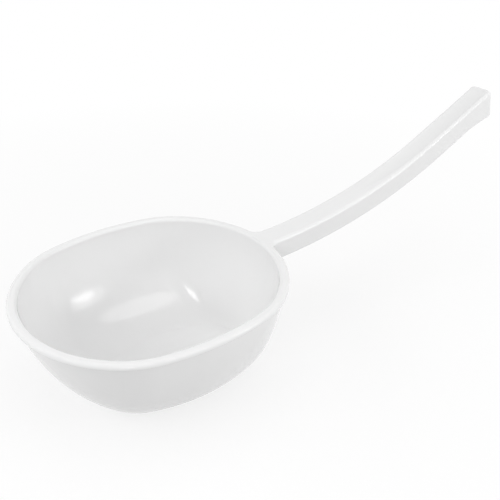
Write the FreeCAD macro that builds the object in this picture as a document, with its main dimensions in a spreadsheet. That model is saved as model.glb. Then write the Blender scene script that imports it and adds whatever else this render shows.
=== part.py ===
import FreeCAD, Part
import math
import os

import Sketcher
from FreeCAD import Placement, Rotation, Vector

# Water ladle, moulded in one piece: a deep oval bowl with a lip round its mouth, and a handle
# that leaves the lip level, bends upwards and ends in a slightly flared tip.
# Millimetres. Z is up and X runs along the handle. The origin is on the face that the bowl
# stands on, straight below the middle of the mouth.

SIZES = {
    # mouth, an oval of four long arcs joined by four corner arcs
    "bowl_length": 160,
    "bowl_width": 141.7,
    "bowl_height": 69,
    "end_radius_share": 0.511,
    "side_radius_share": 0.85,
    "corner_radius_share": 0.365,
    # lip
    "lip_overhang": 2.7,
    "lip_height": 3,
    "edge_round": 2.2,
    "mouth_round": 2,
    "mouth_depth": 2.5,
    # wall and base
    "wall_thickness": 3,
    "base_thickness": 5,
    "wall_fullness": 1.522,
    "base_length": 88,
    "base_width": 56,
    "base_shift": 13,
    # handle, seen from the side
    "handle_reach": 196.8,
    "straight_run": 22.8,
    "bend_angle": 24.8,
    "root_depth": 14,
    "end_depth": 15.5,
    "tip_drop": 2.8,
    "tip_lean": 12,
    # handle, seen from above
    "handle_width": 17,
    "root_round": 6,
    "tip_flare": 0.4,
    "tip_length": 22,
    "tip_round": 3.7,
    # rounded lower edges and dished top of the handle
    "keel_round": 1.6,
    "dish_radius": 22,
    "dish_depth": 1,
    "dish_run": 60,
    # open core on the underside of the handle
    "handle_wall": 2,
    "handle_roof": 2.8,
    "core_start": 5,
    "tip_wall": 3,
}

# shares of the wall's height, from the mouth down, where the lofted ovals lie
LEVELS = (0, 0.25, 0.5, 0.7, 0.85, 0.94, 1)
# how far the handle's blank reaches into the bowl before the inside is cut away
ROOT_OVERLAP = 25
# how far a cutting shape stands clear of what it cuts
CLEARANCE = 10
# how near a point lies to a curve that it is on
NEAR = 0.01

# radius of the handle's underside, which bends from level to straight and runs on to the tip's drop
KEEL_RADIUS = (
    "((Sizes.handle_reach - Sizes.tip_length - Sizes.straight_run) / sin(Sizes.bend_angle))"
)
# radius of its top, which starts level above the underside and ends parallel to it
BEND_RADIUS = (
    f"({KEEL_RADIUS} - (Sizes.end_depth - Sizes.root_depth * cos(Sizes.bend_angle))"
    " / (1 - cos(Sizes.bend_angle)))"
)
# upright depth of the tip, with the drop of its underside
TIP_DEPTH = "(Sizes.end_depth / cos(Sizes.bend_angle) + Sizes.tip_drop)"
# radius of the arc by which each side flares out towards the tip
FLARE_RADIUS = "(Sizes.tip_length ^ 2 + Sizes.tip_flare ^ 2) / (2 * Sizes.tip_flare)"
# radii of the mouth's ends, sides and corners, which follow its width and length
END_RADIUS = "(Sizes.end_radius_share * Sizes.bowl_width)"
SIDE_RADIUS = "(Sizes.side_radius_share * Sizes.bowl_length)"
CORNER_RADIUS = "(Sizes.corner_radius_share * Sizes.bowl_width)"
# radius of the bowl's end under the lip, where the handle's sides run into the wall
WALL_END = f"({END_RADIUS} - Sizes.lip_overhang)"
# distance from the handle's middle to the centre of the round at its root
ROOT_HALF = "(Sizes.handle_width / 2 + Sizes.root_round)"
# length of the flaring arcs, which go on past the leaning end of the tip
FLARE_REACH = f"(Sizes.tip_length + {TIP_DEPTH} * tan(Sizes.tip_lean) + {CLEARANCE})"
# radius of the handle's bend along the middle of the circle that cuts the dish
DISH_INNER = f"({BEND_RADIUS} - Sizes.dish_radius + Sizes.dish_depth)"
# radius along which that circle rises clear of the top, over the length of the run
DISH_BEND = f"1 / (1 / {DISH_INNER} + 2 * Sizes.dish_depth / Sizes.dish_run ^ 2)"
# the circle's path starts this many runs before the straight end, and turns by this many degrees
DISH_LEAD = 1.2
DISH_TURN = f"{DISH_LEAD} * Sizes.dish_run / ({DISH_BEND}) * 180 / pi"
# width of the handle's blank, which takes in the rounds at its root
BLANK_WIDTH = f"Sizes.handle_width + 2 * Sizes.root_round + 2 * Sizes.tip_flare + {CLEARANCE}"

os.makedirs("parts", exist_ok=True)
document = FreeCAD.newDocument("water_ladle")
sheet = document.addObject("Spreadsheet::Sheet", "Sizes")
for row, (alias, size) in enumerate(SIZES.items(), start=1):
    sheet.set(f"A{row}", alias)
    sheet.set(f"B{row}", str(size))
    sheet.setAlias(f"B{row}", alias)
document.recompute()


def measure(expression):
    """Return the number that an expression on the sheet stands for."""
    return float(sheet.evalExpression(expression))


def new_sketch(body, role, name, offset=Vector(), turned=Rotation()):
    """Add a sketch to a body on one of its origin planes, moved and turned in the plane's axes."""
    plane = next(item for item in body.Origin.OriginFeatures if item.Role == role)
    sketch = body.newObject("Sketcher::SketchObject", name)
    sketch.AttachmentSupport = [(plane, "")]
    sketch.MapMode = "FlatFace"
    sketch.AttachmentOffset = Placement(offset, turned)
    return sketch


def dimension(sketch, name, expression, kind, *places):
    """Add a named dimension whose value follows an expression on the sheet."""
    angular = kind == "Angle"
    value = measure(expression)
    value = math.radians(value) if angular else value
    index = sketch.addConstraint(Sketcher.Constraint(kind, *places, value))
    sketch.renameConstraint(index, name)
    sketch.setExpression(f"Constraints.{name}", f"({expression}) * 1 deg" if angular else expression)


def arc(centre, radius, start, end):
    """Return an arc about a centre in the sketch plane, between two angles in radians."""
    return Part.ArcOfCircle(Part.Circle(Vector(*centre, 0), Vector(0, 0, 1), radius), start, end)


def line(start, end):
    """Return a straight segment in the sketch plane."""
    return Part.LineSegment(Vector(*start, 0), Vector(*end, 0))


def oval(sketch, length, width, ends, sides, corners):
    """Draw an oval of eight tangent arcs, centred on the sketch; the sizes are expressions."""
    half_length = measure(length) / 2
    half_width = measure(width) / 2
    end, side, corner = measure(ends), measure(sides), measure(corners)
    end_centre = Vector(half_length - end, 0, 0)
    side_centre = Vector(0, half_width - side, 0)
    # the corner's centre lies on a circle about each of the other two centres
    between = side_centre - end_centre
    gap = between.Length
    along = ((end - corner) ** 2 - (side - corner) ** 2 + gap ** 2) / (2 * gap)
    across = math.sqrt((end - corner) ** 2 - along ** 2)
    step = between.normalize()
    centre = end_centre + step * along + Vector(-step.y, step.x, 0) * across
    low = math.atan2(centre.y, centre.x - end_centre.x)
    high = math.atan2(centre.y - side_centre.y, centre.x)
    turn = math.pi
    arcs = [
        arc((end_centre.x, 0), end, -low, low),
        arc((centre.x, centre.y), corner, low, high),
        arc((0, side_centre.y), side, high, turn - high),
        arc((-centre.x, centre.y), corner, turn - high, turn - low),
        arc((-end_centre.x, 0), end, turn - low, turn + low),
        arc((-centre.x, -centre.y), corner, turn + low, turn + high),
        arc((0, -side_centre.y), side, turn + high, 2 * turn - high),
        arc((centre.x, -centre.y), corner, 2 * turn - high, 2 * turn - low),
    ]
    sketch.addGeometry(arcs)
    for index in range(len(arcs)):
        following = (index + 1) % len(arcs)
        sketch.addConstraint(Sketcher.Constraint("Tangent", index, 2, following, 1))
    for index in (0, 4):
        sketch.addConstraint(Sketcher.Constraint("PointOnObject", index, 3, -1))
    for index in (2, 6):
        sketch.addConstraint(Sketcher.Constraint("PointOnObject", index, 3, -2))
    for index in (3, 5, 7):
        sketch.addConstraint(Sketcher.Constraint("Equal", 1, index))
    sketch.addConstraint(Sketcher.Constraint("Equal", 0, 4))
    sketch.addConstraint(Sketcher.Constraint("Equal", 2, 6))
    dimension(sketch, "end_radius", ends, "Radius", 0)
    dimension(sketch, "side_radius", sides, "Radius", 2)
    dimension(sketch, "corner_radius", corners, "Radius", 1)
    dimension(sketch, "end_setback", f"({ends}) - ({length}) / 2", "DistanceX", 0, 3, -1, 1)
    dimension(sketch, "far_end_setback", f"({ends}) - ({length}) / 2", "DistanceX", -1, 1, 4, 3)
    dimension(sketch, "side_setback", f"({sides}) - ({width}) / 2", "DistanceY", 2, 3, -1, 1)
    dimension(sketch, "far_side_setback", f"({sides}) - ({width}) / 2", "DistanceY", -1, 1, 6, 3)


def closing(level):
    """Share by which the wall has closed in from mouth to base at a share of its height down."""
    fullness = measure("Sizes.wall_fullness")
    return 1 - (1 - level ** fullness) ** (1 / fullness)


def lofted_bowl(body, name, inset, top, base):
    """Loft a solid between two heights, its sides a given inset inside the lip's edge at the top."""
    sections = []
    for number, level in enumerate(LEVELS):
        closed = closing(level)
        height = measure(top) * (1 - level) + measure(base) * level
        shift = measure("Sizes.base_shift") * closed
        sketch = new_sketch(body, "XY_Plane", f"{name}_{number}", Vector(shift, 0, height))
        mouth_length = f"(Sizes.bowl_length - 2 * ({inset}))"
        mouth_width = f"(Sizes.bowl_width - 2 * ({inset}))"
        length = f"{mouth_length} * {1 - closed:.5f} + Sizes.base_length * {closed:.5f}"
        width = f"{mouth_width} * {1 - closed:.5f} + Sizes.base_width * {closed:.5f}"
        # ends and corners get tighter with the width, and the sides with the length
        narrowing = f"({width}) / {mouth_width}"
        shortening = f"({length}) / {mouth_length}"
        oval(
            sketch,
            length,
            width,
            f"({END_RADIUS} - ({inset})) * {narrowing}",
            f"({SIDE_RADIUS} - ({inset})) * {shortening}",
            f"({CORNER_RADIUS} - ({inset})) * {narrowing}",
        )
        sections.append(sketch)
    loft = body.newObject("PartDesign::AdditiveLoft", f"{name}_loft")
    loft.Profile = sections[0]
    loft.Sections = sections[1:]
    document.recompute()
    return loft


def fillet(body, name, base, edges, radius):
    """Round the edges of a feature that a test picks out; the radius is an alias on the sheet."""
    feature = body.newObject("PartDesign::Fillet", name)
    picked = [f"Edge{number}" for number, edge in enumerate(base.Shape.Edges, start=1) if edges(edge)]
    feature.Base = (base, picked)
    feature.setExpression("Radius", f"Sizes.{radius}")
    document.recompute()
    return feature


def pad(body, name, outline, length, down=False):
    """Raise an outline into a solid, or lower it; the length is an expression."""
    feature = body.newObject("PartDesign::Pad", name)
    feature.Profile = outline
    feature.Reversed = down
    feature.setExpression("Length", length)
    document.recompute()
    return feature


def join(sketch, pairs, kind="Coincident"):
    """Tie the end of each element to the start of the next one; a tangent tie is smooth as well."""
    for (first, first_end), (second, second_end) in pairs:
        sketch.addConstraint(Sketcher.Constraint(kind, first, first_end, second, second_end))


def align(sketch, direction, *elements):
    """Set lines level or upright."""
    for index in elements:
        sketch.addConstraint(Sketcher.Constraint(direction, index))


def root_centre(end):
    """Expression for X at the centre of a root round that touches the bowl's end, of a given radius."""
    middle = f"Sizes.bowl_length / 2 - {END_RADIUS}"
    return f"({middle} + sqrt(({end} + Sizes.root_round) ^ 2 - {ROOT_HALF} ^ 2))"


def root_touch(end):
    """Expression for the distance from the handle's middle to where that round touches the end."""
    return f"({end} * {ROOT_HALF} / ({end} + Sizes.root_round))"


def root_rounds(end):
    """Return the near and far round between the handle's sides and the bowl's end."""
    half = measure(ROOT_HALF)
    centre = measure(root_centre(end))
    radius = measure("Sizes.root_round")
    lean = math.asin(half / (measure(end) + radius))
    right = math.pi / 2
    return (
        arc((centre, -half), radius, right, 2 * right - lean),
        arc((centre, half), radius, lean - 2 * right, -right),
    )


def hold_root_rounds(sketch, near, far, end):
    """Dimension the two root rounds of a sketch."""
    sketch.addConstraint(Sketcher.Constraint("Equal", near, far))
    dimension(sketch, "root_round", "Sizes.root_round", "Radius", near)
    dimension(sketch, "near_root", root_centre(end), "DistanceX", -1, 1, near, 3)
    dimension(sketch, "far_root", root_centre(end), "DistanceX", -1, 1, far, 3)
    dimension(sketch, "near_touch", root_touch(end), "DistanceY", near, 2, -1, 1)
    dimension(sketch, "far_touch", root_touch(end), "DistanceY", -1, 1, far, 1)


def lip_root(body):
    """Draw the part of the lip that widens the handle's root and flows into its sides."""
    top = Vector(0, 0, measure("Sizes.bowl_height"))
    sketch = new_sketch(body, "XY_Plane", "lip_root", top)
    near, far = root_rounds(END_RADIUS)
    sketch.addGeometry([
        near,
        line(near.StartPoint[:2], far.EndPoint[:2]),
        far,
        line(far.StartPoint[:2], near.EndPoint[:2]),
    ])
    join(sketch, [((0, 1), (1, 1)), ((1, 2), (2, 2)), ((2, 1), (3, 1)), ((3, 2), (0, 2))])
    align(sketch, "Vertical", 1)
    sketch.addConstraint(Sketcher.Constraint("Vertical", 0, 1, 0, 3))
    hold_root_rounds(sketch, 0, 2, END_RADIUS)
    dimension(sketch, "near_centre", ROOT_HALF, "DistanceY", 0, 3, -1, 1)
    dimension(sketch, "far_centre", ROOT_HALF, "DistanceY", -1, 1, 2, 3)
    return sketch


def bowl_blank():
    """Bowl without its inside: the wall's outer form with the lip round its mouth."""
    body = document.addObject("PartDesign::Body", "bowl_blank")
    lofted_bowl(body, "outer_wall", "Sizes.lip_overhang", "Sizes.bowl_height", "0")
    top = measure("Sizes.bowl_height")
    outline = new_sketch(body, "XY_Plane", "lip_outline", Vector(0, 0, top))
    oval(outline, "Sizes.bowl_length", "Sizes.bowl_width", END_RADIUS, SIDE_RADIUS, CORNER_RADIUS)
    pad(body, "lip", outline, "Sizes.lip_height", down=True)
    lip = pad(body, "widened_lip", lip_root(body), "Sizes.lip_height", down=True)

    def outer_edge(edge):
        return edge.BoundBox.ZMin > top - NEAR and edge.BoundBox.XLength > NEAR

    fillet(body, "lip_edge", lip, outer_edge, "edge_round")
    return body


def inside_blank():
    """Solid that fills the inside of the bowl, with a short straight part at the mouth."""
    body = document.addObject("PartDesign::Body", "inside_blank")
    inset = "Sizes.lip_overhang + Sizes.wall_thickness"
    top = "Sizes.bowl_height - Sizes.mouth_depth"
    lofted_bowl(body, "inner_wall", inset, top, "Sizes.base_thickness")
    pad(body, "mouth", document.getObject("inner_wall_0"), "Sizes.mouth_depth")
    return body


def handle_top(x):
    """Height of the handle's top along its length: level, then an arc, then straight."""
    rim = measure("Sizes.bowl_length / 2")
    bend = measure(BEND_RADIUS)
    angle = math.radians(measure("Sizes.bend_angle"))
    bend_end = rim + bend * math.sin(angle)
    along = min(max(x, rim), bend_end) - rim
    straight = max(x - bend_end, 0)
    rise = bend - math.sqrt(bend ** 2 - along ** 2) + straight * math.tan(angle)
    return measure("Sizes.bowl_height") + rise


def side_profile(body):
    """Draw the handle from the side: level root, upward bend, straight end and dropped tip."""
    sketch = new_sketch(body, "XZ_Plane", "side_profile")
    top = measure("Sizes.bowl_height")
    rim = measure("Sizes.bowl_length / 2")
    bend = measure(BEND_RADIUS)
    angle = math.radians(measure("Sizes.bend_angle"))
    tip_length = measure("Sizes.tip_length")
    keel = measure(KEEL_RADIUS)
    base = measure("Sizes.bowl_height - Sizes.root_depth")
    start = rim - ROOT_OVERLAP
    end = rim + measure("Sizes.handle_reach")
    bend_end = (rim + bend * math.sin(angle), handle_top(rim + bend * math.sin(angle)))
    keel_end = (rim + keel * math.sin(angle), base + keel * (1 - math.cos(angle)))
    drop_x = end - tip_length
    drop_start = (drop_x, keel_end[1] + (drop_x - keel_end[0]) * math.tan(angle))
    tip_depth = measure(TIP_DEPTH)
    overhang = tip_depth * math.tan(math.radians(measure("Sizes.tip_lean")))
    tip_base = (end + overhang, handle_top(end) - tip_depth)
    # the drop's radius follows from how far its end lies below the straight underside
    chord = (tip_base[0] - drop_start[0], tip_base[1] - drop_start[1])
    fall = chord[0] * math.sin(angle) - chord[1] * math.cos(angle)
    drop = (chord[0] ** 2 + chord[1] ** 2) / (2 * fall)
    drop_centre = (drop_start[0] + drop * math.sin(angle), drop_start[1] - drop * math.cos(angle))
    drop_end = math.atan2(tip_base[1] - drop_centre[1], tip_base[0] - drop_centre[0])
    down = -math.pi / 2
    sketch.addGeometry([
        line((start, top), (rim, top)),
        arc((rim, top + bend), bend, down, down + angle),
        line(bend_end, (end, handle_top(end))),
        line((end, handle_top(end)), tip_base),
        arc(drop_centre, drop, drop_end, angle - down),
        line(drop_start, keel_end),
        arc((rim, base + keel), keel, down, down + angle),
        line((rim, base), (start, base)),
        line((start, base), (start, top)),
    ])
    smooth = [((0, 2), (1, 1)), ((1, 2), (2, 1)), ((4, 2), (5, 1)), ((5, 2), (6, 2)), ((6, 1), (7, 1))]
    join(sketch, smooth, "Tangent")
    join(sketch, [((2, 2), (3, 1)), ((3, 2), (4, 1)), ((7, 2), (8, 1)), ((8, 2), (0, 1))])
    align(sketch, "Horizontal", 0, 7)
    align(sketch, "Vertical", 8)
    sketch.addConstraint(Sketcher.Constraint("Parallel", 2, 5))
    dimension(sketch, "bend_radius", BEND_RADIUS, "Radius", 1)
    dimension(sketch, "keel_radius", KEEL_RADIUS, "Radius", 6)
    dimension(sketch, "bend_angle", "Sizes.bend_angle", "Angle", 2)
    dimension(sketch, "root_depth", "Sizes.root_depth", "DistanceY", 8, 1, 8, 2)
    dimension(sketch, "top_height", "Sizes.bowl_height", "DistanceY", -1, 1, 0, 1)
    dimension(sketch, "root_start", f"Sizes.bowl_length / 2 - {ROOT_OVERLAP}", "DistanceX", -1, 1, 0, 1)
    dimension(sketch, "rim_top", "Sizes.bowl_length / 2", "DistanceX", -1, 1, 0, 2)
    dimension(sketch, "rim_keel", "Sizes.bowl_length / 2", "DistanceX", -1, 1, 7, 1)
    dimension(sketch, "tip_end", "Sizes.bowl_length / 2 + Sizes.handle_reach", "DistanceX", -1, 1, 2, 2)
    dimension(sketch, "tip_length", "Sizes.tip_length", "DistanceX", 4, 2, 2, 2)
    dimension(sketch, "tip_depth", TIP_DEPTH, "DistanceY", 3, 2, 3, 1)
    dimension(sketch, "tip_lean", f"{TIP_DEPTH} * tan(Sizes.tip_lean)", "DistanceX", 3, 1, 3, 2)
    return sketch


def plan_cutter(body):
    """Draw the handle from above inside a frame, so that a pocket takes all that lies outside it."""
    sketch = new_sketch(body, "XY_Plane", "plan_cutter")
    half = measure("Sizes.handle_width / 2")
    near, far = root_rounds(WALL_END)
    touch = (near.EndPoint.x, near.EndPoint.y)
    start = touch[0] - ROOT_OVERLAP - CLEARANCE
    flare_start = measure("Sizes.bowl_length / 2 + Sizes.handle_reach - Sizes.tip_length")
    end = flare_start + measure(FLARE_REACH)
    flare = measure(FLARE_RADIUS)
    flare_turn = math.asin(measure(FLARE_REACH) / flare)
    tip_half = half + flare * (1 - math.cos(flare_turn))
    right = math.pi / 2
    sketch.addGeometry([
        line((start, touch[1]), touch),
        near,
        line(near.StartPoint[:2], (flare_start, -half)),
        arc((flare_start, -half - flare), flare, right - flare_turn, right),
        line((end, -tip_half), (end, tip_half)),
        arc((flare_start, half + flare), flare, -right, flare_turn - right),
        line((flare_start, half), far.EndPoint[:2]),
        far,
        line(far.StartPoint[:2], (start, -touch[1])),
        line((start, -touch[1]), (start, touch[1])),
    ])
    join(sketch, [((1, 1), (2, 1)), ((2, 2), (3, 2)), ((5, 1), (6, 1)), ((6, 2), (7, 2))], "Tangent")
    join(sketch, [((0, 2), (1, 2)), ((3, 1), (4, 1)), ((4, 2), (5, 2))])
    join(sketch, [((7, 1), (8, 1)), ((8, 2), (9, 1)), ((9, 2), (0, 1))])
    align(sketch, "Horizontal", 0, 2, 6, 8)
    align(sketch, "Vertical", 4, 9)
    sketch.addConstraint(Sketcher.Constraint("Equal", 3, 5))
    hold_root_rounds(sketch, 1, 7, WALL_END)
    dimension(sketch, "flare_radius", FLARE_RADIUS, "Radius", 3)
    dimension(sketch, "near_side", "Sizes.handle_width / 2", "DistanceY", 2, 1, -1, 1)
    dimension(sketch, "far_side", "Sizes.handle_width / 2", "DistanceY", -1, 1, 6, 1)
    dimension(sketch, "root_start", str(ROOT_OVERLAP + CLEARANCE), "DistanceX", 9, 2, 0, 2)
    flare_start = "Sizes.bowl_length / 2 + Sizes.handle_reach - Sizes.tip_length"
    dimension(sketch, "flare_start", flare_start, "DistanceX", -1, 1, 2, 2)
    dimension(sketch, "near_flare", FLARE_REACH, "DistanceX", 2, 2, 4, 1)
    dimension(sketch, "far_flare", FLARE_REACH, "DistanceX", 6, 1, 4, 2)
    frame_half = measure(BLANK_WIDTH) / 2 + CLEARANCE
    low = (start - CLEARANCE, -frame_half)
    high = (end + CLEARANCE, frame_half)
    sketch.addGeometry([
        line(low, (high[0], low[1])),
        line((high[0], low[1]), high),
        line(high, (low[0], high[1])),
        line((low[0], high[1]), low),
    ])
    join(sketch, [((10, 2), (11, 1)), ((11, 2), (12, 1)), ((12, 2), (13, 1)), ((13, 2), (10, 1))])
    align(sketch, "Horizontal", 10, 12)
    align(sketch, "Vertical", 11, 13)
    frame_reach = f"({BLANK_WIDTH}) / 2 + {CLEARANCE}"
    dimension(sketch, "frame_start", str(CLEARANCE), "DistanceX", 10, 1, 9, 1)
    dimension(sketch, "frame_end", str(CLEARANCE), "DistanceX", 4, 1, 10, 2)
    dimension(sketch, "frame_near", frame_reach, "DistanceY", 10, 1, -1, 1)
    dimension(sketch, "frame_far", frame_reach, "DistanceY", -1, 1, 12, 1)
    return sketch


def core_profile(body):
    """Draw the open core from the side: its roof follows the handle's top, and it is open below."""
    sketch = new_sketch(body, "XZ_Plane", "core_profile")
    top = measure("Sizes.bowl_height")
    rim = measure("Sizes.bowl_length / 2")
    bend = measure(BEND_RADIUS)
    roof = bend + measure("Sizes.handle_roof")
    angle = math.radians(measure("Sizes.bend_angle"))
    start = rim + measure("Sizes.core_start")
    end = rim + measure("Sizes.handle_reach - Sizes.tip_wall")
    floor = measure("Sizes.bowl_height - Sizes.root_depth") - CLEARANCE
    down = -math.pi / 2
    start_turn = down + math.asin((start - rim) / roof)
    roof_start = (start, top + bend + roof * math.sin(start_turn))
    roof_bend = (rim + roof * math.sin(angle), top + bend - roof * math.cos(angle))
    roof_end = (end, roof_bend[1] + (end - roof_bend[0]) * math.tan(angle))
    sketch.addGeometry([
        arc((rim, top + bend), roof, start_turn, down + angle),
        line(roof_bend, roof_end),
        line(roof_end, (end, floor)),
        line((end, floor), (start, floor)),
        line((start, floor), roof_start),
    ])
    join(sketch, [((0, 2), (1, 1))], "Tangent")
    join(sketch, [((1, 2), (2, 1)), ((2, 2), (3, 1)), ((3, 2), (4, 1)), ((4, 2), (0, 1))])
    align(sketch, "Horizontal", 3)
    align(sketch, "Vertical", 2, 4)
    dimension(sketch, "roof_radius", f"{BEND_RADIUS} + Sizes.handle_roof", "Radius", 0)
    dimension(sketch, "bend_angle", "Sizes.bend_angle", "Angle", 1)
    dimension(sketch, "bend_x", "Sizes.bowl_length / 2", "DistanceX", -1, 1, 0, 3)
    dimension(sketch, "bend_z", f"Sizes.bowl_height + {BEND_RADIUS}", "DistanceY", -1, 1, 0, 3)
    dimension(sketch, "core_start", "Sizes.bowl_length / 2 + Sizes.core_start", "DistanceX", -1, 1, 4, 1)
    core_end = "Sizes.bowl_length / 2 + Sizes.handle_reach - Sizes.tip_wall"
    dimension(sketch, "core_end", core_end, "DistanceX", -1, 1, 2, 1)
    core_floor = f"Sizes.bowl_height - Sizes.root_depth - {CLEARANCE}"
    dimension(sketch, "core_floor", core_floor, "DistanceY", -1, 1, 3, 1)
    return sketch


def dish_path(body):
    """Draw the line of the dish's centre, parallel to the straight end and rising clear of the bend."""
    sketch = new_sketch(body, "XZ_Plane", "dish_path")
    top = measure("Sizes.bowl_height")
    rim = measure("Sizes.bowl_length / 2")
    angle = math.radians(measure("Sizes.bend_angle"))
    lift = measure("Sizes.dish_radius - Sizes.dish_depth")
    inner = measure(DISH_INNER)
    radius = measure(DISH_BEND)
    bend_end = (rim + inner * math.sin(angle), top + lift + inner * (1 - math.cos(angle)))
    centre = (bend_end[0] - radius * math.sin(angle), bend_end[1] + radius * math.cos(angle))
    arc_end = angle - math.pi / 2
    end_x = rim + measure("Sizes.handle_reach") + CLEARANCE
    end = (end_x, bend_end[1] + (end_x - bend_end[0]) * math.tan(angle))
    sketch.addGeometry([
        arc(centre, radius, arc_end - math.radians(measure(DISH_TURN)), arc_end),
        line(bend_end, end),
    ])
    join(sketch, [((0, 2), (1, 1))], "Tangent")
    dimension(sketch, "bend", DISH_BEND, "Radius", 0)
    dimension(sketch, "turn", DISH_TURN, "Angle", 0)
    dimension(sketch, "bend_angle", "Sizes.bend_angle", "Angle", 1)
    bend_end_x = f"Sizes.bowl_length / 2 + {DISH_INNER} * sin(Sizes.bend_angle)"
    bend_rise = f"{DISH_INNER} * (1 - cos(Sizes.bend_angle))"
    bend_end_z = f"Sizes.bowl_height + Sizes.dish_radius - Sizes.dish_depth + {bend_rise}"
    dimension(sketch, "bend_end_x", bend_end_x, "DistanceX", -1, 1, 1, 1)
    dimension(sketch, "bend_end_z", bend_end_z, "DistanceY", -1, 1, 1, 1)
    path_end = f"Sizes.bowl_length / 2 + Sizes.handle_reach + {CLEARANCE}"
    dimension(sketch, "path_end", path_end, "DistanceX", -1, 1, 1, 2)
    return sketch, end


def handle():
    """Handle: a blank of the side view, trimmed to the view from above, rounded, dished and cored."""
    body = document.addObject("PartDesign::Body", "handle")
    blank = pad(body, "handle_blank", side_profile(body), BLANK_WIDTH)
    blank.SideType = "Symmetric"
    trimmed = body.newObject("PartDesign::Pocket", "handle_sides")
    trimmed.Profile = plan_cutter(body)
    trimmed.Type = "ThroughAll"
    trimmed.SideType = "Symmetric"
    document.recompute()
    end = measure("Sizes.bowl_length / 2 + Sizes.handle_reach")
    root = measure(root_centre(WALL_END)) - measure("Sizes.root_round")

    def below_top(edge):
        middle = edge.valueAt((edge.FirstParameter + edge.LastParameter) / 2)
        return handle_top(middle.x) - middle.z

    def tip_corner(edge):
        box = edge.BoundBox
        return box.XMin > end - NEAR and box.ZLength > measure(TIP_DEPTH) / 2

    def lengthwise(edge):
        box = edge.BoundBox
        upright = box.XLength < NEAR and box.YLength < NEAR
        slanting = box.XMin > end - measure("Sizes.tip_round") and box.ZLength > measure(TIP_DEPTH) / 2
        across = box.YLength > measure("Sizes.handle_width") - NEAR and box.XMax < end - NEAR
        return box.XMax > root + NEAR and not (upright or slanting or across)

    def ridge(edge):
        return lengthwise(edge) and abs(below_top(edge)) < NEAR

    def keel(edge):
        return lengthwise(edge) and below_top(edge) > NEAR

    corners = fillet(body, "tip_corners", trimmed, tip_corner, "tip_round")
    ridges = fillet(body, "ridges", corners, ridge, "edge_round")
    fillet(body, "keels", ridges, keel, "keel_round")
    path, path_end = dish_path(body)
    turned = Rotation(Vector(1, 0, 0), -measure("Sizes.bend_angle"))
    section = new_sketch(body, "YZ_Plane", "dish_section", Vector(0, path_end[1], path_end[0]), turned)
    section.addGeometry(Part.Circle(Vector(), Vector(0, 0, 1), measure("Sizes.dish_radius")))
    section.addConstraint(Sketcher.Constraint("Coincident", 0, 3, -1, 1))
    dimension(section, "dish_radius", "Sizes.dish_radius", "Radius", 0)
    dish = body.newObject("PartDesign::SubtractivePipe", "dish")
    dish.Profile = section
    dish.Spine = path
    core = body.newObject("PartDesign::Pocket", "core")
    core.Profile = core_profile(body)
    core.SideType = "Symmetric"
    core.setExpression("Length", "Sizes.handle_width - 2 * Sizes.handle_wall")
    document.recompute()
    return body


solid = document.addObject("Part::Fuse", "bowl_and_handle")
solid.Base = bowl_blank()
solid.Tool = handle()
solid.Refine = True
hollow = document.addObject("Part::Cut", "hollow_bowl")
hollow.Base = solid
hollow.Tool = inside_blank()
hollow.Refine = True
document.recompute()

bowl_top = measure("Sizes.bowl_height")
mouth = document.getObject("inner_wall_0").Shape.copy()
mouth.translate(Vector(0, 0, measure("Sizes.mouth_depth")))


def on_mouth(edge):
    """Whether an edge lies on the top of the wall's inside."""
    middle = edge.valueAt((edge.FirstParameter + edge.LastParameter) / 2)
    return abs(middle.z - bowl_top) < NEAR and mouth.distToShape(Part.Vertex(middle))[0] < NEAR


ladle = document.addObject("Part::Fillet", "ladle")
ladle.Label = "water_ladle"
ladle.Base = hollow
mouth_round = measure("Sizes.mouth_round")
numbered = enumerate(hollow.Shape.Edges, start=1)
ladle.Edges = [(number, mouth_round, mouth_round) for number, edge in numbered if on_mouth(edge)]
document.recompute()

for item in document.Objects:
    if "Invalid" in item.State or "Error" in item.State:
        raise RuntimeError(f"{item.Label} did not build")
    shape = getattr(item, "Shape", None)
    if shape is not None and (shape.isNull() or not shape.isValid()):
        raise RuntimeError(f"{item.Label} has no valid shape")
ladle.Shape.exportStep(f"parts/{ladle.Label}.step")
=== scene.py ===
import math

import bmesh
import bpy
import numpy as np
from mathutils import Matrix, Vector


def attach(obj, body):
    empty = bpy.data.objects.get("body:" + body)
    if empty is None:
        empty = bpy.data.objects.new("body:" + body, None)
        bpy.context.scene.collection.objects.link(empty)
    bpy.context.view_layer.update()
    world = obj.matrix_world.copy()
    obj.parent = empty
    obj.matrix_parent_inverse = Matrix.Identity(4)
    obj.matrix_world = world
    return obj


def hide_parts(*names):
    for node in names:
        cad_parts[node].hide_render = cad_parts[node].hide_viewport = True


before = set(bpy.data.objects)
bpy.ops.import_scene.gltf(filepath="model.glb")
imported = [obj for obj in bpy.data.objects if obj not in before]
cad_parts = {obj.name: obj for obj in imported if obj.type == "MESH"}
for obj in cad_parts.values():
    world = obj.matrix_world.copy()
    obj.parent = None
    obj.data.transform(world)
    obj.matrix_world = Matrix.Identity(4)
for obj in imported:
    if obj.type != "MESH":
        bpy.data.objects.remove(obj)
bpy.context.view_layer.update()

# Water ladle, moulded in one piece of pale glossy plastic: a deep oval bowl with a lip round its mouth, and
# a handle that leaves the lip level, bends upwards and ends in a slightly flared tip.
# Sizes are in millimetres and equal those of the solid model; MM turns them into metres.
MM = 0.001

# the bowl, over its lip
BOWL_LENGTH = 160
BOWL_WIDTH = 141.7
BOWL_HEIGHT = 69
# radii of the mouth's ends and corners as shares of its width, and of its sides as a share of its length
END_SHARE = 0.511
CORNER_SHARE = 0.365
SIDE_SHARE = 0.85
# lip: how far it stands out over the wall, its height, and the rounds of its upper and its lower edge
LIP_OVERHANG = 2.7
LIP_HEIGHT = 3
EDGE_ROUND = 2.2
UNDER_ROUND = 0.4
# the round of the mouth's inner edge, and how far below the rim the inner wall starts
MOUTH_ROUND = 2
MOUTH_DEPTH = 2.5
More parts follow.
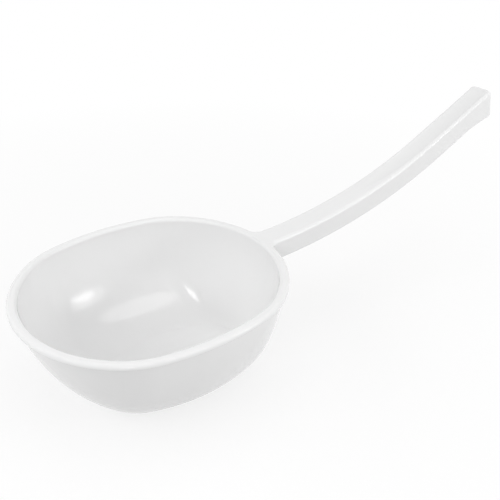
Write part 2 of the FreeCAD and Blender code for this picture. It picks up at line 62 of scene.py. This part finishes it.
# wall and base, with the power that sets how full the wall is, and how far the base lies towards the handle
WALL = 3
BASE_THICKNESS = 5
FULLNESS = 1.522
BASE_LENGTH = 88
BASE_WIDTH = 56
BASE_SHIFT = 13

# handle from the side: its reach past the rim, the length along X of its straight end before the tip, its
# bend, its depth at the root and at the end, the drop of its underside at the tip, and the tip's lean
REACH = 196.8
STRAIGHT_RUN = 22.8
BEND = math.radians(24.8)
ROOT_DEPTH = 14
END_DEPTH = 15.5
TIP_DROP = 2.8
TIP_LEAN = math.tan(math.radians(12))
# handle from above: half its width, the rounds at its root, and the flare, length and corners of its tip
HALF_WIDTH = 8.5
ROOT_ROUND = 6
TIP_FLARE = 0.4
TIP_LENGTH = 22
TIP_ROUND = 3.7
# the rounds of its lower edges and of the tip's upper edge, the latter a little more than in the solid
KEEL_ROUND = 1.6
TIP_EDGE = 2.7
# the groove in its top, the run over which it fades in, and the length over which it ends at the tip
DISH_RADIUS = 22
DISH_DEPTH = 1
DISH_RUN = 60
DISH_END = 7
# open core underneath: half its width, the roof over it, where it starts past the rim, the wall at the tip
CORE_HALF = 6.5
CORE_ROOF = 2.8
CORE_START = 5
TIP_WALL = 3

# How far the lip's part at the root runs into the handle, how far the handle's top stands over it and
# over what length that fades, and how far before the rim the handle's top comes out of the lip.
STUB_END = 1
COVER = 0.02
COVER_FADE = 3
SURFACING = 1
# the narrow strip beside a rounded edge, and the least distance between two rings where a section steps
MARGIN = 0.3
STEP = 0.05
# Points that lie nearer to each other than this, in metres, become one.
TOUCHING = 1e-7

# rings of the bowl over a large round, over a small round, up the outer wall and down the inner wall
EDGE_RINGS, UNDER_RINGS, OUTER_RINGS, INNER_RINGS = 10, 5, 56, 60
# the base's rings, as shares of the way out from its middle
BASE_RINGS = np.array([0.002, 0.2, 0.4, 0.6, 0.8, 0.95])
# steps round the bowl along the five stretches of the arc at the handle's end, and along the other arcs
ROOT_STEPS = (8, 14, 6, 14, 8)
ARC_STEPS = (30, 30, 30, 22, 30, 30, 30)
# The middle stretch, across the handle, takes this share of the angle between where the root rounds touch.
CROSSING = 0.45
# rings of the handle in the bowl's wall, over the lip's part at the root, along the tip and round its end
SUNK_RINGS, ROOT_RINGS, TIP_RINGS, END_RINGS = 10, 14, 20, 16
# distances from ring to ring past the surfacing, past the lip's part at the root, and along the handle
SURFACED_GAP, ROOT_GAP, RING_GAP = 0.5, 1, 2.5
# steps across half the handle's top, over its ridge and round its lower edge
TOP_STEPS, RIDGE_STEPS, KEEL_STEPS = 26, 9, 8
# further steps, as shares of the way down the side, up into the core, and out from the roof's middle
SIDE_SHARES = np.array([0.04, 0.33, 0.67, 0.96])
CORE_SHARES = np.array([0.01, 0.5, 0.97])
ROOF_SHARES = np.array([0.98, 0.5, 0])

# the plastic's two tints, its roughness at the glossiest and the dullest places, and its refraction
COOL_TINT, WARM_TINT = (0.835, 0.836, 0.837, 1), (0.871, 0.870, 0.869, 1)
GLOSSIEST, DULLEST = 0.06, 0.11
REFRACTION = 1.49
# strength of the moulded ripple, and its height in metres
RIPPLE_STRENGTH, RIPPLE_HEIGHT = 0.12, 0.0002
# scale and detail of the patterns of tint, gloss and ripple
TINT_PATTERN, GLOSS_PATTERN, RIPPLE_PATTERN = (22, 3), (90, 4), (260, 2)

# strength of the even light
AMBIENT = 0.44
# floor: its half length in metres, its roughness, its white when seen, what it throws back onto the ladle,
# and how much it shines by itself when seen
FLOOR_REACH = 6.0
FLOOR_ROUGHNESS = 0.9
FLOOR_WHITE, FLOOR_BOUNCE = 0.95, 0.65
FLOOR_GLOW = 0.75
# From the first distance to the second, in metres, the floor's glow rises to plain white.
SHADOW_REACH, WHITE_REACH = 0.15, 0.5
# Lamps stand this far, in metres, from the place that they light.
LAMP_DISTANCE = 0.9
MIDDLE, HANDLE = (20, 0, 40), (150, 40, 90)
LEFT_WALL, RIGHT_WALL, LOW_WALL = (-15.9, 54.2, 35.3), (54.2, 36.7, 29.6), (5, 46, 19)
# name, place lit, direction and height as angles, width and height in metres, watts, mirrored in gloss
LAMPS = (
    ("low_right", MIDDLE, -60, 6, 0.4, 0.4, 0.5, False),
    ("right", MIDDLE, -30, 12, 0.5, 0.5, 0.8, False),
    ("back_right", MIDDLE, 0, 30, 0.5, 0.5, 0.5, False),
    ("back_left", MIDDLE, 144, 35, 0.5, 0.5, 1.3, False),
    ("left", MIDDLE, 180, 35, 0.5, 0.5, 1.75, False),
    ("overhead", HANDLE, -120, 85, 0.8, 0.8, 2.1, False),
    ("left_highlight", LEFT_WALL, -51, 15, 0.16, 0.09, 0.26, True),
    ("left_haze", LEFT_WALL, -51, 15, 0.34, 0.2, 0.4, True),
    ("right_highlight", RIGHT_WALL, -132, 22, 0.24, 0.2, 0.7, True),
    ("strip", LOW_WALL, -71, 36, 0.66, 0.22, 0.7, True),
)
# camera: its place, the directions behind it and to its right, and its film's width and focal length
CAMERA_PLACE = (-165.6, -318.5, 298.9)
CAMERA_BACK, CAMERA_RIGHT = (-0.5103, -0.6917, 0.511), (0.8046, -0.5938, 0)
FILM_WIDTH, FOCAL_LENGTH = 36, 53.77

RIM = BOWL_LENGTH / 2
END = RIM + REACH
END_RADIUS = END_SHARE * BOWL_WIDTH
CORNER_RADIUS = CORNER_SHARE * BOWL_WIDTH
SIDE_RADIUS = SIDE_SHARE * BOWL_LENGTH
INSET = LIP_OVERHANG + WALL
# The underside and the top of the handle bend by the same angle and end parallel to each other.
KEEL_RADIUS = (REACH - TIP_LENGTH - STRAIGHT_RUN) / math.sin(BEND)
BEND_RADIUS = KEEL_RADIUS - (END_DEPTH - ROOT_DEPTH * math.cos(BEND)) / (1 - math.cos(BEND))


def root_centre(end):
    """X at the centre of the root round that touches an end of that radius."""
    reach = HALF_WIDTH + ROOT_ROUND
    return RIM - END_RADIUS + math.sqrt((end + ROOT_ROUND) ** 2 - reach ** 2)


def root_angle(end):
    """Angle round an end of that radius, from the middle of the handle to where the root round touches."""
    return math.asin((HALF_WIDTH + ROOT_ROUND) / (end + ROOT_ROUND))


def root_touch(end):
    """X where the root round touches an end of that radius."""
    return RIM - END_RADIUS + end * math.cos(root_angle(end))


def cover_end():
    """X up to which the handle's top stands over the lip's part at the root."""
    return root_centre(END_RADIUS) + STUB_END + COVER_FADE


def oval_arcs(inset, closed):
    """Centres, radii and end angles of the eight arcs of each level section.

    A section is the rim's oval, offset inwards by its inset and then closed in by a share towards the
    base. Its two ends, two sides and four corners are arcs that pass smoothly into each other: a corner's
    centre lies where circles about the end's and the side's centre cross, each with its radius less the
    corner's. Rows are sections and columns are arcs, in turn round the oval from the handle's end."""
    length = (BOWL_LENGTH - 2 * inset) * (1 - closed) + BASE_LENGTH * closed
    width = (BOWL_WIDTH - 2 * inset) * (1 - closed) + BASE_WIDTH * closed
    narrowing, shortening = width / (BOWL_WIDTH - 2 * inset), length / (BOWL_LENGTH - 2 * inset)
    end, corner = (END_RADIUS - inset) * narrowing, (CORNER_RADIUS - inset) * narrowing
    side = (SIDE_RADIUS - inset) * shortening
    end_x, side_y = length / 2 - end, width / 2 - side
    gap = np.hypot(end_x, side_y)
    along = ((end - corner) ** 2 - (side - corner) ** 2 + gap ** 2) / (2 * gap)
    across = np.sqrt((end - corner) ** 2 - along ** 2)
    x = end_x - (end_x * along + side_y * across) / gap
    y = (side_y * along - end_x * across) / gap
    low, high = np.arctan2(y, x - end_x), np.arctan2(y - side_y, x)
    none, half = np.zeros_like(low), math.pi
    centre_x = np.stack([end_x, x, none, -x, -end_x, -x, none, x], axis=1)
    centre_y = np.stack([none, y, side_y, y, none, -y, -side_y, -y], axis=1)
    radius = np.stack([end, corner, side, corner] * 2, axis=1)
    stops = np.stack([low, high, half - high, half - low, half + low, half + high], axis=1)
    stops = np.hstack([-low[:, None], stops, 2 * half - high[:, None], 2 * half - low[:, None]])
    return centre_x, centre_y, radius, stops[:, :-1], stops[:, 1:]


def steps_round():
    """The steps round a section as arrays: arc, share of the arc, stretch of the root, share of that.

    The arc at the handle's end is cut where the root rounds and the handle's sides begin, into stretches
    0 to 4; all other arcs have stretch -1."""
    # half the angle of the rim's arc there, and of the part that the root takes
    low, lean = float(oval_arcs(np.zeros(1), np.zeros(1))[4][0, 0]), root_angle(END_RADIUS)
    cuts = [-low, -lean, -lean * CROSSING, lean * CROSSING, lean, low]
    columns = []
    for stretch, count in enumerate(ROOT_STEPS):
        part = np.arange(count) / count
        angle = cuts[stretch] + (cuts[stretch + 1] - cuts[stretch]) * part
        columns.append(np.stack(np.broadcast_arrays(0, (angle + low) / (2 * low), stretch, part)))
    for arc, count in enumerate(ARC_STEPS, start=1):
        part = np.arange(count) / count
        columns.append(np.stack(np.broadcast_arrays(arc, part, -1, part)))
    arc, share, stretch, part = np.hstack(columns)
    return arc.astype(int), share, stretch.astype(int), part


def sections(inset, closed, widened):
    """Outlines of the level sections, rows by steps; a widened one takes in the lip's part at the root.

    A point is its arc's centre plus the radius in the direction of its angle. At the root, a widened
    outline follows the root rounds instead, grown by the inset, and crosses the handle between them, past
    the rounds' end by less the further in it lies."""
    arc, share, stretch, part = steps_round()
    centre_x, centre_y, radius, start, stop = (value[:, arc] for value in oval_arcs(inset, closed))
    angle = start + (stop - start) * share
    x, y = centre_x + radius * np.cos(angle), centre_y + radius * np.sin(angle)
    inset, closed, widened = inset[:, None], closed[:, None], widened[:, None]
    lean, root_x, reach = root_angle(END_RADIUS), root_centre(END_RADIUS), HALF_WIDTH + ROOT_ROUND
    first, across = stretch == 1, stretch == 2
    turn = math.pi - lean - (math.pi / 2 - lean) * np.where(first, part, 1 - part)
    round_x = root_x + (ROOT_ROUND + inset) * np.cos(turn)
    round_y = (reach - (ROOT_ROUND + inset) * np.sin(turn)) * np.where(first, -1, 1)
    past = STUB_END * (1 - np.maximum(inset - EDGE_ROUND, 0) / MARGIN) - STEP * inset
    at_root = (widened > 0) & (stretch >= 1) & (stretch <= 3)
    x = np.where(at_root, np.where(across, root_x + past * (part > 0), round_x), x)
    y = np.where(at_root, np.where(across, (2 * part - 1) * (HALF_WIDTH - inset), round_y), y)
    return x + BASE_SHIFT * closed, y


def bowl_grid():
    """The bowl as level rings, out from the base's middle, up the wall, over the lip and down inside.

    The wall closes in from mouth to base as a quarter of a superellipse: with a turn from 0 at the mouth
    to a quarter circle at the base, its depth is sin(turn) and its closing is 1 - cos(turn), each sine or
    cosine to the power 2 / fullness. The lip's edges are quarter circles. A base ring is its outline drawn
    in towards the base's middle by a share."""
    rows = []

    def rings(inset, height, closed=0.0, widened=0.0, share=1.0):
        """Add a ring for each value of the arrays given: its inset from the rim, its height, its share of
        closing in, whether it is widened, and its share of the way out from the base's middle."""
        rows.append(np.column_stack(np.broadcast_arrays(inset, height, closed, widened, share)))

    def wall(inset, top, bottom, turns):
        """Add the rings of a wall at these turns."""
        depth = np.sin(turns) ** (2 / FULLNESS)
        closed = 1 - np.clip(np.cos(turns), 0, 1) ** (2 / FULLNESS)
        rings(inset, top + (bottom - top) * depth, closed)

    quarter, under = math.pi / 2, BOWL_HEIGHT - LIP_HEIGHT
    fine, coarse = np.linspace(0, quarter, EDGE_RINGS), np.linspace(0, quarter, UNDER_RINGS)
    highest = math.asin(((LIP_HEIGHT + UNDER_ROUND) / BOWL_HEIGHT) ** (FULLNESS / 2))
    shrink = UNDER_ROUND * (1 - np.cos(coarse[1:]))
    rings(LIP_OVERHANG, 0, 1.0, 0.0, BASE_RINGS)
    wall(LIP_OVERHANG, BOWL_HEIGHT, 0, np.linspace(quarter, highest, OUTER_RINGS))
    rings(LIP_OVERHANG - shrink, under - UNDER_ROUND * (1 - np.sin(coarse[1:])))
    rings(LIP_OVERHANG - UNDER_ROUND - MARGIN, under, widened=1.0)
    rings(UNDER_ROUND * (1 - np.sin(coarse)), under + UNDER_ROUND * (1 - np.cos(coarse)), widened=1.0)
    rings(EDGE_ROUND * (1 - np.cos(fine)), BOWL_HEIGHT - EDGE_ROUND * (1 - np.sin(fine)), widened=1.0)
    rings(EDGE_ROUND + MARGIN, BOWL_HEIGHT, widened=1.0)
    rings(INSET - MOUTH_ROUND - MARGIN, BOWL_HEIGHT)
    rings(INSET - MOUTH_ROUND * (1 - np.sin(fine)), BOWL_HEIGHT - MOUTH_ROUND * (1 - np.cos(fine)))
    wall(INSET, BOWL_HEIGHT - MOUTH_DEPTH, BASE_THICKNESS, np.linspace(0, quarter, INNER_RINGS))
    rings(INSET, BASE_THICKNESS, 1.0, 0.0, BASE_RINGS[::-1])
    inset, height, closed, widened, share = np.vstack(rows).T
    x, y = sections(inset, closed, widened)
    x, y = BASE_SHIFT + (x - BASE_SHIFT) * share[:, None], y * share[:, None]
    return np.stack([x, y, np.broadcast_to(height[:, None], x.shape)], axis=2)


def bent_height(x, height, radius):
    """Height of a line that runs level from the rim, then bends up in an arc, then runs straight."""
    bend_end = RIM + radius * math.sin(BEND)
    along = np.clip(x, RIM, bend_end) - RIM
    rise = radius - np.sqrt(radius ** 2 - along ** 2)
    return height + rise + np.maximum(x - bend_end, 0) * math.tan(BEND)


def keel_height(x):
    """Height of the handle's underside: bent like the top, then an arc that drops away at the tip."""
    drop_x = END - TIP_LENGTH
    drop_radius = TIP_LENGTH ** 2 / (2 * TIP_DROP * math.cos(BEND) ** 3)
    arc_x = np.maximum(x, drop_x) - drop_x - drop_radius * math.sin(BEND)
    arc = np.sqrt(drop_radius ** 2 - arc_x ** 2) - drop_radius * math.cos(BEND)
    return bent_height(np.minimum(x, drop_x), BOWL_HEIGHT - ROOT_DEPTH, KEEL_RADIUS) + arc


def rounded_off(x, radius):
    """How far a quarter round of that radius has drawn a face in on its way to the handle's end."""
    past = np.clip(x - (END - radius), 0, radius)
    return radius - np.sqrt(radius ** 2 - past ** 2)


def half_width(x):
    """Half the handle's width: the root's round, then straight, then a wide arc and the tip's corner."""
    wall_radius = END_RADIUS - LIP_OVERHANG
    back = root_centre(wall_radius) - np.clip(x, root_touch(wall_radius), root_centre(wall_radius))
    width = HALF_WIDTH + ROOT_ROUND - np.sqrt(ROOT_ROUND ** 2 - back ** 2)
    flare = (TIP_LENGTH ** 2 + TIP_FLARE ** 2) / (2 * TIP_FLARE)
    width += flare - np.sqrt(flare ** 2 - np.maximum(x - END + TIP_LENGTH, 0) ** 2)
    return width - rounded_off(x, TIP_ROUND)


def dish(x, y):
    """Depth of the groove in the handle's top: a round bottom that fades in towards the bend's end as
    one minus the square of the share of the run that is left, and out at the tip as a half wave."""
    bend_end = RIM + BEND_RADIUS * math.sin(BEND)
    fade = 1 - np.clip((bend_end - x) / math.cos(BEND) / DISH_RUN, 0, 1) ** 2
    fade = fade * (1 - np.cos(math.pi * np.clip((END - x) / DISH_END, 0, 1))) / 2
    return np.maximum(np.sqrt(DISH_RADIUS ** 2 - y ** 2) - (DISH_RADIUS - DISH_DEPTH * fade), 0)


def handle_places():
    """Where the handle's rings stand along it, and which of them have the open core.

    They stand evenly in each stretch, and round the tip's end by even turns of a quarter circle, of which
    the first two would lie too near to the core's last ring."""
    core_start, last_core, tip = RIM + CORE_START, END - TIP_WALL, END - TIP_LENGTH
    surfacing, covered = RIM - SURFACING, cover_end()
    sunk = np.linspace(root_touch(END_RADIUS - LIP_OVERHANG) - SURFACING, surfacing, SUNK_RINGS)
    surfaced = np.linspace(surfacing + SURFACED_GAP, covered, ROOT_RINGS)
    root = np.concatenate([sunk, [surfacing + STEP, surfacing + 2 * STEP], surfaced])
    solid = np.concatenate([root[root < core_start - STEP], [core_start - STEP]])
    bent = np.arange(covered + ROOT_GAP, tip, RING_GAP)
    core = np.concatenate([[core_start], root[root > core_start], bent])
    core = np.concatenate([core, np.linspace(tip, last_core, TIP_RINGS)])
    end = END - TIP_WALL * np.cos(np.linspace(0, math.pi / 2, END_RINGS)[2:])
    x = np.concatenate([solid, core, [last_core + STEP], end])
    return x, (x >= core_start) & (x <= last_core)


def handle_grid():
    """The handle as upright rings from its root to its tip.

    Each ring runs from the middle of the top over a quarter-round ridge, down the side, round the keel's
    quarter round and up into the open core, then back the same way on the other side. The heights of ridge
    and groove are divided by the cosine of the handle's slope. Towards the end of the tip, a point moves
    forwards more and more, in proportion to its depth under the top."""
    x, open_core = handle_places()
    width = half_width(x)
    slope = np.arcsin(np.clip(x - RIM, 0, BEND_RADIUS * math.sin(BEND)) / BEND_RADIUS)
    cover = COVER * np.clip((cover_end() - x) / COVER_FADE, 0, 1)
    top = bent_height(x, BOWL_HEIGHT, BEND_RADIUS) + np.where(x <= RIM - SURFACING, -MARGIN, cover)
    top = top - rounded_off(x, TIP_EDGE)
    bottom = keel_height(x) + rounded_off(x, KEEL_ROUND)
    roof = np.where(open_core, bent_height(x, BOWL_HEIGHT - CORE_ROOF, BEND_RADIUS + CORE_ROOF), bottom)
    core = np.minimum(CORE_HALF, width - KEEL_ROUND - 3 * STEP)
    x, top, bottom, slope, width, roof, core = (
        value[:, None] for value in (x, top, bottom, slope, width, roof, core)
    )
    ridge = EDGE_ROUND / np.cos(slope)
    flat = (width - EDGE_ROUND) * np.linspace(0, 1, TOP_STEPS)
    over, under = np.linspace(0, math.pi / 2, RIDGE_STEPS)[1:], np.linspace(0, math.pi / 2, KEEL_STEPS)
    side_top, side_low = top - ridge, bottom + KEEL_ROUND
    y = np.hstack([
        flat, width - EDGE_ROUND * (1 - np.sin(over)), width * np.ones_like(SIDE_SHARES),
        width - KEEL_ROUND * (1 - np.cos(under)), core + 2 * STEP, core * np.ones_like(CORE_SHARES),
        core * ROOF_SHARES,
    ])
    z = np.hstack([
        top - dish(x, flat) / np.cos(slope), top - ridge * (1 - np.cos(over)),
        side_top + (side_low - side_top) * SIDE_SHARES, bottom + KEEL_ROUND * (1 - np.sin(under)),
        bottom, bottom + (roof - bottom) * CORE_SHARES, roof * np.ones_like(ROOF_SHARES),
    ])
    y, z = np.hstack([y, -y[:, -2:0:-1]]), np.hstack([z, z[:, -2:0:-1]])
    lean = TIP_LEAN * np.clip((x - END) / TIP_LENGTH + 1, 0, 1)
    return np.stack([x + lean * (top - z), y, z], axis=2)


def skin(grid, turned):
    """Join a grid's rings into a closed surface: a four-sided face between each two steps of each two
    rings, and a fan to the middle of the first and the last ring. Turned faces face the other way."""
    rows, count = grid.shape[:2]
    column = np.arange(count)
    a, b = column, (column + 1) % count
    start = np.arange(rows - 1)[:, None, None] * count
    quads = (np.stack([a, b, b + count, a + count], axis=1) + start).reshape(-1, 4)
    last = (rows - 1) * count
    first_fan = np.stack([np.full(count, rows * count), b, a], axis=1)
    last_fan = np.stack([np.full(count, rows * count + 1), a + last, b + last], axis=1)
    points = np.vstack([grid.reshape(-1, 3), grid[0].mean(axis=0), grid[-1].mean(axis=0)])
    fans = np.vstack([first_fan, last_fan])
    if turned:
        quads, fans = quads[:, ::-1], fans[:, ::-1]
    return points, quads, fans


def moulded(name, shells, material):
    """One mesh object from several closed surfaces, each given as points, quads and fans. Points that
    coincide, as where the handle has no core and its roof is the underside, are made one."""
    starts = np.cumsum([0] + [len(points) for points, quads, fans in shells])
    points = np.vstack([shell[0] for shell in shells]) * MM
    quads = np.vstack([shell[1] + start for shell, start in zip(shells, starts)])
    fans = np.vstack([shell[2] + start for shell, start in zip(shells, starts)])
    mesh = bpy.data.meshes.new(name)
    mesh.from_pydata(points.tolist(), [], quads.tolist() + fans.tolist())
    merged = bmesh.new()
    merged.from_mesh(mesh)
    bmesh.ops.remove_doubles(merged, verts=merged.verts, dist=TOUCHING)
    merged.to_mesh(mesh)
    merged.free()
    mesh.polygons.foreach_set("use_smooth", [True] * len(mesh.polygons))
    mesh.materials.append(material)
    mesh.update()
    item = bpy.data.objects.new(name, mesh)
    bpy.context.scene.collection.objects.link(item)
    return item


def pale_plastic():
    """Pale glossy plastic with the faint ripple and uneven gloss of a moulded surface."""
    material = bpy.data.materials.new("pale_plastic")
    material.use_nodes = True
    nodes, links = material.node_tree.nodes, material.node_tree.links
    shader = nodes["Principled BSDF"]
    place = nodes.new("ShaderNodeTexCoord").outputs["Object"]

    def pattern(scale, detail):
        """Soft uneven values that lie fixed in the ladle."""
        node = nodes.new("ShaderNodeTexNoise")
        node.inputs["Scale"].default_value = scale
        node.inputs["Detail"].default_value = detail
        links.new(place, node.inputs["Vector"])
        return node.outputs["Fac"]

    tint = nodes.new("ShaderNodeMix")
    tint.data_type = "RGBA"
    tint.inputs["A"].default_value = COOL_TINT
    tint.inputs["B"].default_value = WARM_TINT
    links.new(pattern(*TINT_PATTERN), tint.inputs["Factor"])
    links.new(tint.outputs["Result"], shader.inputs["Base Color"])
    gloss = nodes.new("ShaderNodeMapRange")
    gloss.inputs["To Min"].default_value = GLOSSIEST
    gloss.inputs["To Max"].default_value = DULLEST
    links.new(pattern(*GLOSS_PATTERN), gloss.inputs["Value"])
    links.new(gloss.outputs["Result"], shader.inputs["Roughness"])
    ripple = nodes.new("ShaderNodeBump")
    ripple.inputs["Strength"].default_value = RIPPLE_STRENGTH
    ripple.inputs["Distance"].default_value = RIPPLE_HEIGHT
    links.new(pattern(*RIPPLE_PATTERN), ripple.inputs["Height"])
    links.new(ripple.outputs["Normal"], shader.inputs["Normal"])
    shader.inputs["IOR"].default_value = REFRACTION
    return material


def seen_rays(nodes, links):
    """One for rays that show a surface to the camera, directly or in a mirror or glass, else nought."""
    path = nodes.new("ShaderNodeLightPath")
    total = path.outputs["Is Camera Ray"]
    for name in ("Is Glossy Ray", "Is Transmission Ray"):
        adding = nodes.new("ShaderNodeMath")
        adding.operation = "MAXIMUM"
        links.new(total, adding.inputs[0])
        links.new(path.outputs[name], adding.inputs[1])
        total = adding.outputs[0]
    return total


def white_floor():
    """White floor that shows a faint shadow and throws little light back up."""
    material = bpy.data.materials.new("white_floor")
    material.use_nodes = True
    nodes, links = material.node_tree.nodes, material.node_tree.links
    shader = nodes["Principled BSDF"]
    shader.inputs["Roughness"].default_value = FLOOR_ROUGHNESS
    shader.inputs["Specular IOR Level"].default_value = 0.0
    seen = seen_rays(nodes, links)
    colour = nodes.new("ShaderNodeMix")
    colour.data_type = "RGBA"
    colour.inputs["A"].default_value = (FLOOR_BOUNCE, FLOOR_BOUNCE, FLOOR_BOUNCE, 1)
    colour.inputs["B"].default_value = (FLOOR_WHITE, FLOOR_WHITE, FLOOR_WHITE, 1)
    links.new(seen, colour.inputs["Factor"])
    links.new(colour.outputs["Result"], shader.inputs["Base Color"])
    glow = nodes.new("ShaderNodeEmission")
    glow.inputs["Color"].default_value = (1, 1, 1, 1)
    distance = nodes.new("ShaderNodeVectorMath")
    distance.operation = "LENGTH"
    links.new(nodes.new("ShaderNodeTexCoord").outputs["Object"], distance.inputs[0])
    fade = nodes.new("ShaderNodeMapRange")
    fade.inputs["From Min"].default_value = SHADOW_REACH
    fade.inputs["From Max"].default_value = WHITE_REACH
    fade.inputs["To Min"].default_value = FLOOR_GLOW
    links.new(distance.outputs["Value"], fade.inputs["Value"])
    share = nodes.new("ShaderNodeMath")
    share.operation = "MULTIPLY"
    links.new(seen, share.inputs[0])
    links.new(fade.outputs["Result"], share.inputs[1])
    mix = nodes.new("ShaderNodeMixShader")
    links.new(share.outputs[0], mix.inputs["Fac"])
    links.new(shader.outputs["BSDF"], mix.inputs[1])
    links.new(glow.outputs["Emission"], mix.inputs[2])
    links.new(mix.outputs["Shader"], nodes["Material Output"].inputs["Surface"])
    return material


def studio_floor():
    """Level square floor that the ladle stands on."""
    reach = FLOOR_REACH
    corners = [(-reach, -reach, 0), (reach, -reach, 0), (reach, reach, 0), (-reach, reach, 0)]
    mesh = bpy.data.meshes.new("floor")
    mesh.from_pydata(corners, [], [(0, 1, 2, 3)])
    mesh.materials.append(white_floor())
    item = bpy.data.objects.new("floor", mesh)
    bpy.context.scene.collection.objects.link(item)
    return item


def studio_world():
    """Even pale light all round, which the camera and reflections see as plain white."""
    world = bpy.data.worlds.new("studio")
    world.use_nodes = True
    nodes, links = world.node_tree.nodes, world.node_tree.links
    background = nodes["Background"]
    background.inputs["Color"].default_value = (1, 1, 1, 1)
    strength = nodes.new("ShaderNodeMapRange")
    strength.inputs["To Min"].default_value = AMBIENT
    strength.inputs["To Max"].default_value = 1.0
    links.new(seen_rays(nodes, links), strength.inputs["Value"])
    links.new(strength.outputs["Result"], background.inputs["Strength"])
    return world


def lamp(name, place, azimuth, elevation, width, height, power, mirrored):
    """Soft light turned towards a place in millimetres, seen from there under two angles; its shape is an
    ellipse where the gloss mirrors it."""
    data = bpy.data.lights.new(name, "AREA")
    data.shape = "ELLIPSE" if mirrored else "RECTANGLE"
    data.size, data.size_y = width, height
    data.energy = power
    item = bpy.data.objects.new(name, data)
    turn, rise = math.radians(azimuth), math.radians(elevation)
    away = Vector((math.cos(rise) * math.cos(turn), math.cos(rise) * math.sin(turn), math.sin(rise)))
    stand = Vector(place) * MM + away * LAMP_DISTANCE
    item.matrix_world = Matrix.Translation(stand) @ away.to_track_quat("Z", "Y").to_matrix().to_4x4()
    item.visible_glossy = mirrored
    bpy.context.scene.collection.objects.link(item)


def studio_camera():
    """Camera that looks at the ladle from the photograph's angle."""
    data = bpy.data.cameras.new("camera")
    data.sensor_width = FILM_WIDTH
    data.lens = FOCAL_LENGTH
    item = bpy.data.objects.new("camera", data)
    back, right = Vector(CAMERA_BACK).normalized(), Vector(CAMERA_RIGHT).normalized()
    turned = Matrix((right, back.cross(right), back)).transposed().to_4x4()
    item.matrix_world = Matrix.Translation(Vector(CAMERA_PLACE) * MM) @ turned
    bpy.context.scene.collection.objects.link(item)
    return item


bowl = skin(bowl_grid(), turned=False)
handle = skin(handle_grid(), turned=True)
ladle = moulded("ladle_skin", [bowl, handle], pale_plastic())
even_shading = ladle.modifiers.new("even_shading", "WEIGHTED_NORMAL")
even_shading.keep_sharp = True
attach(ladle, "root")
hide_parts("water_ladle")

floor = studio_floor()

bpy.context.scene.world = studio_world()
for settings in LAMPS:
    lamp(*settings)
bpy.context.scene.camera = studio_camera()
bpy.context.scene.view_settings.view_transform = "Standard"
